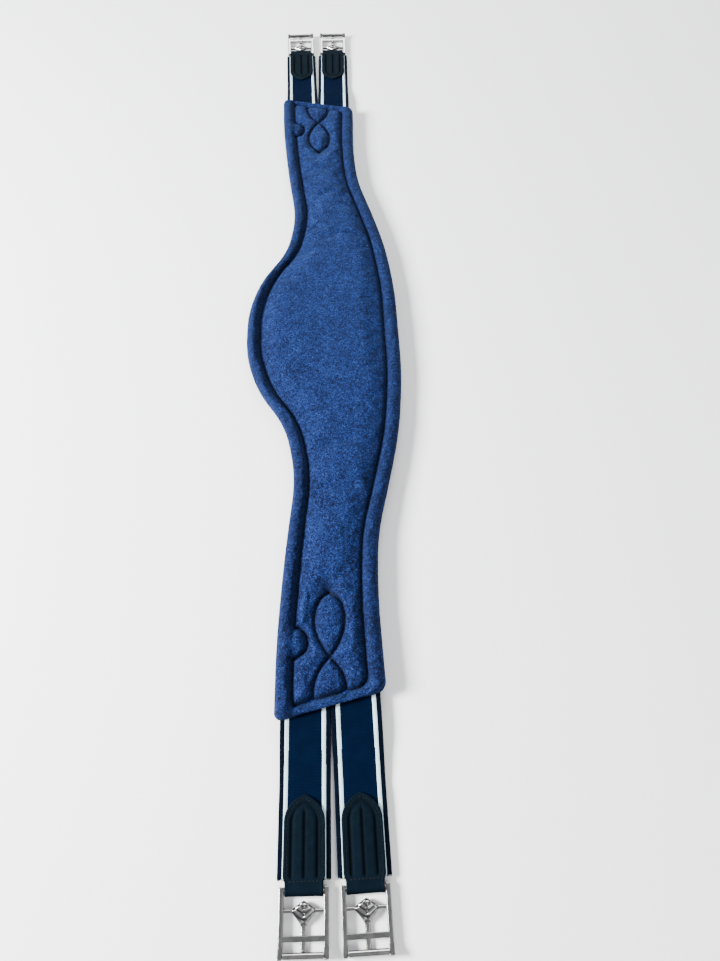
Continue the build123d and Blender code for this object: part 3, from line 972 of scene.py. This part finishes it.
ELASTIC_HALF = 20.50286    # half its width
ELASTIC_THICK = 1.6
ELASTIC_END = -7.8         # u of its cut end
STRIPE_IN = 13.6           # white stripe, from the strap's centre line
STRIPE_OUT = 16.7
FIBRES = 26                # loose ones on each side of its cut end
FIBRE = (1.5, 0.13)        # their length and radius
SPLIT_U = -108.0           # where the strap's two visual pieces meet
ROOT_SPREAD = 0.5          # how much wider each half is where it leaves the body
ROOT_DEPTH = 22.0          # how far the elastic goes on inside the body
CHAPE_HALF = 14.5
PLY = 1.6
CHAPE_FLARE = 0.11         # share by which it is wider clear of the frame
CHAPE_TIP = -66.5          # u of its pointed end
ARCH = 20.0                # length of the pointed arch there, whose sides are arcs
ARCH_RADIUS = (CHAPE_HALF**2 + ARCH**2) / (2 * CHAPE_HALF)
ARCH_SHIFT = ARCH_RADIUS - CHAPE_HALF
CHAPE_SEAM = 2.7           # stitches, in from the outline
CHAPE_PITCH = 2.9
CHAPE_STITCH = (2.1, 0.27)  # length and radius
FOLD_U = -5.0              # from here to the bar it is narrow enough for the frame
BAR_BORE = 1.85            # inner radius of the fold round the strap bar
SLOT_HALF = 1.1            # half the gap that holds the elastic
TAPER = -12.0              # u where the two plies start to part towards the bar
LOZENGE = (20.2, 13.0, 4.8)  # the tongue's head: width, length and thickness
STEM_HALF = 2.0
STEM_THICK = 2.2
STEM_LEVEL = 1.6
TONGUE_TIP = 42.1


class Strap:
    """Where one strap lies: its bar, the way along it and the way across it."""

    def __init__(self, end, side):
        self.key = f"{end}_{side}"
        self.end = end
        self.number = 2 * (end == "far") + (side == "rear")
        self.bar = 1000 * np.array(JOINTS[f"buckle_pivot_{self.key}"]["pos_m"])
        self.out = np.array(JOINTS[f"strap_stretch_{self.key}"]["axis"])
        self.across = np.array(JOINTS[f"buckle_pivot_{self.key}"]["axis"])
        self.flex = 1000 * np.array(JOINTS[f"strap_flex_{self.key}"]["pos_m"])
        self.flex_u = float((self.flex - self.bar) @ self.out)
        self.flex_z = self.flex[2]
        self.bar_z = self.bar[2]
        rows = [list(row) for row in zip(self.across, self.out, (0, 0, 1), self.bar * MM)]
        self.place = Matrix([*rows, [0, 0, 0, 1]])
        self.place[2][3] = 0.0

    def points(self, x, u, z):
        """Frame points from strap points: x across, u outwards from the bar, z over the floor."""
        x, u, z = np.broadcast_arrays(x, u, z)
        ground = np.array([self.bar[0], self.bar[1], 0.0])
        return ground + x[..., None] * self.across + u[..., None] * self.out + z[..., None] * UP

    def shell(self, name, x, u, high, low, marks=None):
        """A closed piece from x, u and the heights of its upper and lower surface."""
        upper, lower = self.points(x, u, high), self.points(x, u, low)
        return shell(f"{name}_{self.key}", upper, lower, self.place, marks)

    def metres(self, u, z):
        """A point on the strap's centre line in metres."""
        return [float(v) * MM for v in self.points(0.0, u, z)]


def elastic_level(strap, u):
    """Height of the elastic's middle: from the body down to the strap bar's level."""
    fall = smooth((u - strap.flex_u - 2) / (CHAPE_TIP - 6 - strap.flex_u - 2))
    return strap.flex_z + (strap.bar_z - strap.flex_z) * fall


def elastic_columns():
    """x across the elastic, with columns along its edges and along both sides of each white stripe."""
    x = [share * ELASTIC_HALF for share in (1, 0.985, 0.96)]
    x += list(np.linspace(0.93 * ELASTIC_HALF, STRIPE_OUT + 0.3, 4))
    x += [STRIPE_OUT, STRIPE_OUT - 0.25, STRIPE_IN + 0.25, STRIPE_IN]
    x += list(np.linspace(STRIPE_IN - 0.4, 0, 12))
    return np.array([-v for v in x[:-1]] + x[::-1])


def elastic_grid(strap, stations, cut_high=False):
    """Strap points of the elastic's upper and lower surface: x, u, upper z and lower z.

    The white stripes stand proud, fine cords run between them, and the free strap waves and curls a little.
    """
    x = elastic_columns()[None, :]
    u = np.asarray(stations)[:, None]
    edge = ELASTIC_HALF - np.abs(x)
    rim = round_edge(edge, 0.7)
    if cut_high:
        rim = rim * round_edge(u.max() - u, 0.35)
    in_stripe = smooth((np.abs(x) - STRIPE_IN) / 0.25) * smooth((STRIPE_OUT - np.abs(x)) / 0.25)
    cord = 0.00576 * np.cos(2 * math.pi * x / 4.2) * (np.abs(x) < STRIPE_IN - 1)
    half = (ELASTIC_THICK / 2 + 0.14 * in_stripe + cord) * rim
    held = smooth((CHAPE_TIP + 4 - u) / 10)
    wave = 0.35 * held * lumps(u + 0 * x, 0 * u + 0 * x, 17, 20 + strap.number)
    curl = -0.5 * held * (x / ELASTIC_HALF) ** 2 * smooth((u - strap.flex_u - 5) / 25)
    level = elastic_level(strap, u) + wave + curl
    slack = 1 + ROOT_SPREAD / ELASTIC_HALF * (1 - smooth((u - strap.flex_u - 4) / 50))
    return x * slack, u + 0 * x, level + half, level - half


def paint_elastic(piece):
    """Dark elastic in the middle, white stripes, and black selvedges outside them."""
    for material in (ELASTIC, STRIPE, SELVEDGE):
        piece.data.materials.append(material)
    attribute = piece.data.attributes["place"].data
    x = np.zeros(len(attribute) * 3, np.float32)
    attribute.foreach_get("vector", x)
    x = np.abs(1000 * x.reshape(-1, 3)[:, 0])
    for face in piece.data.polygons:
        middle = float(np.mean([x[v] for v in face.vertices]))
        face.material_index = 2 if middle > STRIPE_OUT else 1 if middle > STRIPE_IN else 0


def make_elastic(strap):
    """Two pieces: one from inside the body out to the split, the other from there to the cut end."""
    stations = np.linspace(strap.flex_u - 8 - ROOT_DEPTH, SPLIT_U, 44)
    root = strap.shell("elastic_root", *elastic_grid(strap, stations))
    paint_elastic(root)
    start = strap.metres(strap.flex_u - 4, strap.flex_z)
    stop = strap.metres(strap.flex_u + 9, strap.flex_z)
    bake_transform(root)
    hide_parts(f"elastic_{strap.key}", f"anchors_{strap.end}")
    cut_end = ELASTIC_END - 0.5 * np.cos(np.linspace(0, math.pi / 2, 4))
    stations = np.concatenate([np.linspace(SPLIT_U, cut_end[0], 92), cut_end[1:]])
    x, u, high, low = elastic_grid(strap, stations, cut_high=True)
    u = u + 0.3 * lumps(x, x * 0, 1.3, 60 + strap.number) * smooth((u - ELASTIC_END + 2) / 2)
    free = strap.shell("elastic_strap", x, u, high, low)
    paint_elastic(free)
    start = strap.metres(SPLIT_U + 1, strap.bar_z)
    stop = strap.metres(CHAPE_TIP - 4, strap.bar_z)
    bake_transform(free)
    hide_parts(f"elastic_{strap.key}")


def arch_distance(x, u):
    """Distance in from the chape's outline."""
    rise = np.maximum(0, CHAPE_TIP + ARCH - u)
    return ARCH_RADIUS - np.hypot(np.abs(x) + ARCH_SHIFT, rise)


def arch_half_width(u, inset=0.0):
    """Half the chape's width, less an inset square to its outline."""
    rise = np.maximum(0, CHAPE_TIP + ARCH - u)
    return np.sqrt(np.maximum(0, (ARCH_RADIUS - inset) ** 2 - rise**2)) - ARCH_SHIFT


def flared(u):
    """How much wider the chape is clear of the frame."""
    return 1 + CHAPE_FLARE * smooth((FOLD_U - u) / 5)


def parting(u):
    """0 where the chape's plies lie on the elastic, 1 where they fold round the bar."""
    return smooth((u - TAPER) / -TAPER)


def embossing(x, u, edge):
    """Height of the pressed pattern and depth of its channels: a U inside the outline and a middle one."""
    ends = smooth((-7.0 - u) / 2.5)
    deep = 0.35 + 0.4 * smooth((u + 56) / 10)
    channel = deep * bell(edge - 5.4, 1.0) * ends
    past = np.maximum(0, np.maximum(-54 - u, u + 9))
    middle = 0.7 * bell(np.hypot(x, past), 1.15)
    lip = 0.16 * bell(edge - 1.2, 0.8)
    sewn = 0.2 * bell(edge - CHAPE_SEAM, 0.5) * smooth((-4 - u) / 3)
    swell = 0.22 * smooth((edge - 6.5) / 2) * (np.abs(x) > 0.5) * ends
    return lip + swell - channel - middle - sewn, np.maximum(channel / 0.65, middle / 0.7)


def chape_path():
    """The leather's middle line from one tip round the bar to the other.

    Gives its points as (u, height over the bar), its outward normals, and u on the flat pattern.
    """
    level = SLOT_HALF + PLY / 2
    fold = BAR_BORE + PLY / 2
    tip = CHAPE_TIP + ARCH * 0.9 * (1 - np.cos(np.linspace(0, math.pi / 2, 18)))
    run = np.linspace(tip[-1], 0, 52)[1:]
    u = np.concatenate([tip, run])
    h = level + (fold - level) * parting(u)
    slope = np.gradient(h, u)
    normal = np.stack([-slope, np.ones_like(u)], axis=1)
    normal /= np.linalg.norm(normal, axis=1)[:, None]
    angle = np.linspace(math.pi / 2, -math.pi / 2, 19)[1:-1]
    around = np.stack([fold * np.cos(angle), fold * np.sin(angle)], axis=1)
    upper = np.stack([u, h], axis=1)
    over = np.array([1, -1])
    path = np.concatenate([upper, around, (upper * over)[::-1]])
    normals = np.concatenate([normal, around / fold, (normal * over)[::-1]])
    flat = np.concatenate([u, np.zeros(len(angle)), u[::-1]])
    return path, normals, flat


def make_chape(strap):
    """Black leather folded round the strap bar, pressed and pointed, above and below the elastic."""
    path, normals, flat = chape_path()
    columns = np.sin(np.linspace(-math.pi / 2, math.pi / 2, 75))
    x = arch_half_width(flat)[:, None] * columns[None, :]
    u = np.repeat(flat[:, None], x.shape[1], axis=1)
    edge = np.maximum(0, arch_distance(x, u))
    wide = x * flared(u)
    rim = round_edge(edge, 0.65) * PLY / 2
    soft = 0.12 * lumps(x + 50 * strap.number, u, 8, 41)
    pressed, depth = embossing(x, u, edge)
    raised = rim + (pressed + soft) * round_edge(edge, 0.65)

    def surface(offset):
        out = path[:, :1] + normals[:, :1] * offset
        height = strap.bar_z + path[:, 1:] + normals[:, 1:] * offset
        return strap.points(wide, out, np.maximum(height, FLOOR_GAP))

    # The channels' depth also marks where the leather gets painted shade.
    marks = {"painted_shade": np.clip(depth, 0, 1)}
    piece = shell(f"leather_chape_{strap.key}", surface(raised), surface(-rim), strap.place, marks)
    dress(piece, LEATHER, "leather")
    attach(piece, f"strap_end_{strap.key}")
    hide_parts(f"chape_{strap.key}")


def make_chape_stitches(strap):
    """One row of stitches just inside the outline of each ply, and one row across by the bar."""
    u = np.linspace(CHAPE_TIP + CHAPE_SEAM * 1.25, -6.5, 240)
    half = arch_half_width(u, CHAPE_SEAM)
    u, half = u[half > 0], half[half > 0]
    right = np.stack([half * flared(u), u], axis=1)
    outline = np.concatenate([right[::-1], right * np.array([-1, 1])])
    reach = CHAPE_HALF - CHAPE_SEAM
    across = np.array([(-reach, -6.3), (reach, -6.3)])
    runs = []
    for line in (outline, across):
        p, w = spaced(line, CHAPE_PITCH)
        level = SLOT_HALF + PLY + 0.75 * parting(p[:, 1]) - 0.02
        for face in (1, -1):
            height = np.maximum(strap.bar_z + face * level, FLOOR_GAP + CHAPE_STITCH[1])
            points = strap.points(p[:, 0], p[:, 1], height)
            ways = w[:, :1] * strap.across + w[:, 1:] * strap.out
            runs.append([points, ways, np.broadcast_to(face * UP, points.shape)])
    look = (BLACK_THREAD, "leather")
    piece = stitches(f"chape_stitches_{strap.key}", *joined(runs), CHAPE_STITCH, look, strap.place)
    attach(piece, f"strap_end_{strap.key}")


def make_fray(strap):
    """Loose fibres at the elastic's cut end, either side of the chape."""
    random = np.random.default_rng(300 + strap.number)
    points, ways = [], []
    for side in (-1, 1):
        for _ in range(FIBRES):
            x = side * random.uniform(CHAPE_HALF + 0.5, ELASTIC_HALF - 0.3)
            z = strap.bar_z + random.uniform(-0.6, 0.6)
            points.append(strap.points(x, ELASTIC_END + 0.25, z))
            way = strap.out + strap.across * random.uniform(-0.9, 0.9)
            way = way + UP * random.uniform(-0.5, 0.5)
            ways.append(way / np.linalg.norm(way))
    look = (SELVEDGE, "elastic_weave")
    piece = stitches(f"elastic_fray_{strap.key}", points, ways, UP, FIBRE, look, strap.place)
    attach(piece, f"strap_end_{strap.key}")


def make_tongue(strap):
    """A cast tongue: an engraved lozenge on the tongue bar, and a stem that passes under the band."""
    bar = 1000 * np.array(JOINTS[f"tongue_swing_{strap.key}"]["pos_m"])
    bar_z = bar[2]
    bar_u = float((bar - strap.bar) @ strap.out)
    start, stop = bar_u - LOZENGE[1] / 2, TONGUE_TIP
    u = np.concatenate([np.linspace(start, bar_u + 11, 76), np.linspace(bar_u + 11, stop, 46)[1:]])
    back = np.clip((u - start) / (bar_u - start), 0, 1)
    ahead = np.clip((u - bar_u) / (LOZENGE[1] / 2 + 4), 0, 1)
    head = LOZENGE[0] / 2
    half = np.where(u < bar_u, head * back**0.9, STEM_HALF + (head - STEM_HALF) * (1 - ahead) ** 1.35)
    half = half * round_edge(stop - u, 2.2)
    x = half[:, None] * np.sin(np.linspace(-math.pi / 2, math.pi / 2, 57))[None, :]
    u = np.repeat(u[:, None], x.shape[1], axis=1)
    stem = smooth((u - bar_u - 4.5) / 6)
    middle = bar_z + (STEM_LEVEL - bar_z) * stem
    thick = LOZENGE[2] / 2 + (STEM_THICK / 2 - LOZENGE[2] / 2) * stem
    side = half[:, None] - np.abs(x)
    tip = np.minimum(u - start, stop - u) * 0.8
    dome = round_edge(np.minimum(side, tip), 1.0 + 3.2 * (1 - stem))
    chevrons = np.cos(2 * math.pi * (0.62 * np.abs(x) + (u - bar_u)) / 4.3)
    keel = bell(x, 0.5)
    cut = (1 - stem) * smooth((side - 0.7) / 1.2)
    relief = (0.38 * chevrons - 0.45 * keel) * cut
    rim = (1 - stem) * (1 - smooth((side - 0.5) / 0.8))
    # Painted shade: the engraved cuts, the keel and the head's rim are marked to be darkened.
    painted_cut_shade = np.clip(smooth((-chevrons - 0.1) / 0.9) + keel, 0, 1) * cut + 0.8 * rim
    marks = {"painted_shade": np.clip(painted_cut_shade, 0, 1)}
    thick = thick * dome
    piece = strap.shell("buckle_tongue", x, u, middle + thick + relief, middle - thick, marks)
    dress(piece, BRIGHT_STEEL, "tongue_metal")
    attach(piece, f"swing_{strap.key}")
    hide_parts(f"tongue_{strap.key}")


def paint_buckle(strap):
    """Steel on the parts of the buckle that keep their CAD shape."""
    for kind, material in (("rails", STEEL), ("crossbars", STEEL), ("roller", BRIGHT_STEEL)):
        part = frame["nodes"][f"{kind}_{strap.key}"]
        part.data.materials.clear()
        part.data.materials.append(material)


for end in ENDS:
    make_pad(end)
    make_pad_stitches(end)
    make_cover(end)
    make_webbing(end)
    make_underside_stitches(end)
    for side in SIDES:
        strap = Strap(end, side)
        make_elastic(strap)
        make_chape(strap)
        make_chape_stitches(strap)
        make_fray(strap)
        make_tongue(strap)
        paint_buckle(strap)


# ---------------------------------------------------------------- camera, light and floor

def make_floor():
    """A plain pale floor, in metres."""
    size = 40.0
    corners = [(-size, -size, 0), (size, -size, 0), (size, size, 0), (-size, size, 0)]
    mesh = bpy.data.meshes.new("floor")
    mesh.from_pydata(corners, [], [(0, 1, 2, 3)])
    floor = add_object("floor", mesh)
    paint = Paint("pale_floor")
    source = paint.add("ShaderNodeTexCoord")
    cloud = paint.noise(source.outputs["Object"], 1.4)
    paint.colour(paint.ramp(cloud, (0.3, (0.86, 0.87, 0.88)), (0.7, (0.9, 0.9, 0.91))))
    paint.set(Roughness=0.75)
    mesh.materials.append(paint.material)
    floor.location.z = -0.0002


def make_light(name, place, size, power):
    """A square soft light, in metres and watts, that faces the middle of the girth."""
    light = bpy.data.lights.new(name, "AREA")
    light.size = size
    light.energy = power
    lamp = add_object(name, light)
    lamp.location = place
    lamp.rotation_mode = "QUATERNION"
    lamp.rotation_quaternion = (Vector((0, 0, 0)) - Vector(place)).to_track_quat("-Z", "Y")


def make_camera():
    """A hand-held camera above the near end, looking steeply down along the girth."""
    down, heading, roll = math.radians(61.0), math.radians(2.58), math.radians(0.24)
    level = math.cos(down)
    ahead = Vector((level * math.sin(heading), level * math.cos(heading), -math.sin(down)))
    right = Vector((math.cos(heading), -math.sin(heading), 0))
    up = right.cross(ahead)
    right, up = right * math.cos(roll) + up * math.sin(roll), up * math.cos(roll) - right * math.sin(roll)
    data = bpy.data.cameras.new("camera")
    data.sensor_width, data.lens = 36.0, 27.0
    data.clip_start, data.clip_end = 0.01, 50
    camera = add_object("camera", data)
    turn = Matrix((right, up, -ahead)).transposed().to_4x4()
    camera.matrix_world = Matrix.Translation((0.0178, -0.5265, 0.6222)) @ turn
    bpy.context.scene.camera = camera


def make_world():
    """Even light from all round, a little brighter from above."""
    world = bpy.data.worlds.new("studio")
    world.use_nodes = True
    nodes, links = world.node_tree.nodes, world.node_tree.links
    source = nodes.new("ShaderNodeTexCoord")
    split = nodes.new("ShaderNodeSeparateXYZ")
    ramp = nodes.new("ShaderNodeValToRGB")
    set_stops(ramp.color_ramp.elements, ((0.1, (0.6, 0.62, 0.64)), (0.75, (0.95, 0.97, 1.0))))
    links.new(source.outputs["Generated"], split.inputs["Vector"])
    links.new(split.outputs["Z"], ramp.inputs["Fac"])
    links.new(ramp.outputs["Color"], nodes["Background"].inputs["Color"])
    nodes["Background"].inputs["Strength"].default_value = 0.62
    bpy.context.scene.world = world


make_floor()
make_world()
make_light("key", (-1.7, -0.3, 1.0), 0.6, 255)
make_light("fill", (1.2, -1.3, 1.6), 1.6, 28)
make_light("back", (0.3, 2.2, 1.5), 1.2, 60)
make_camera()
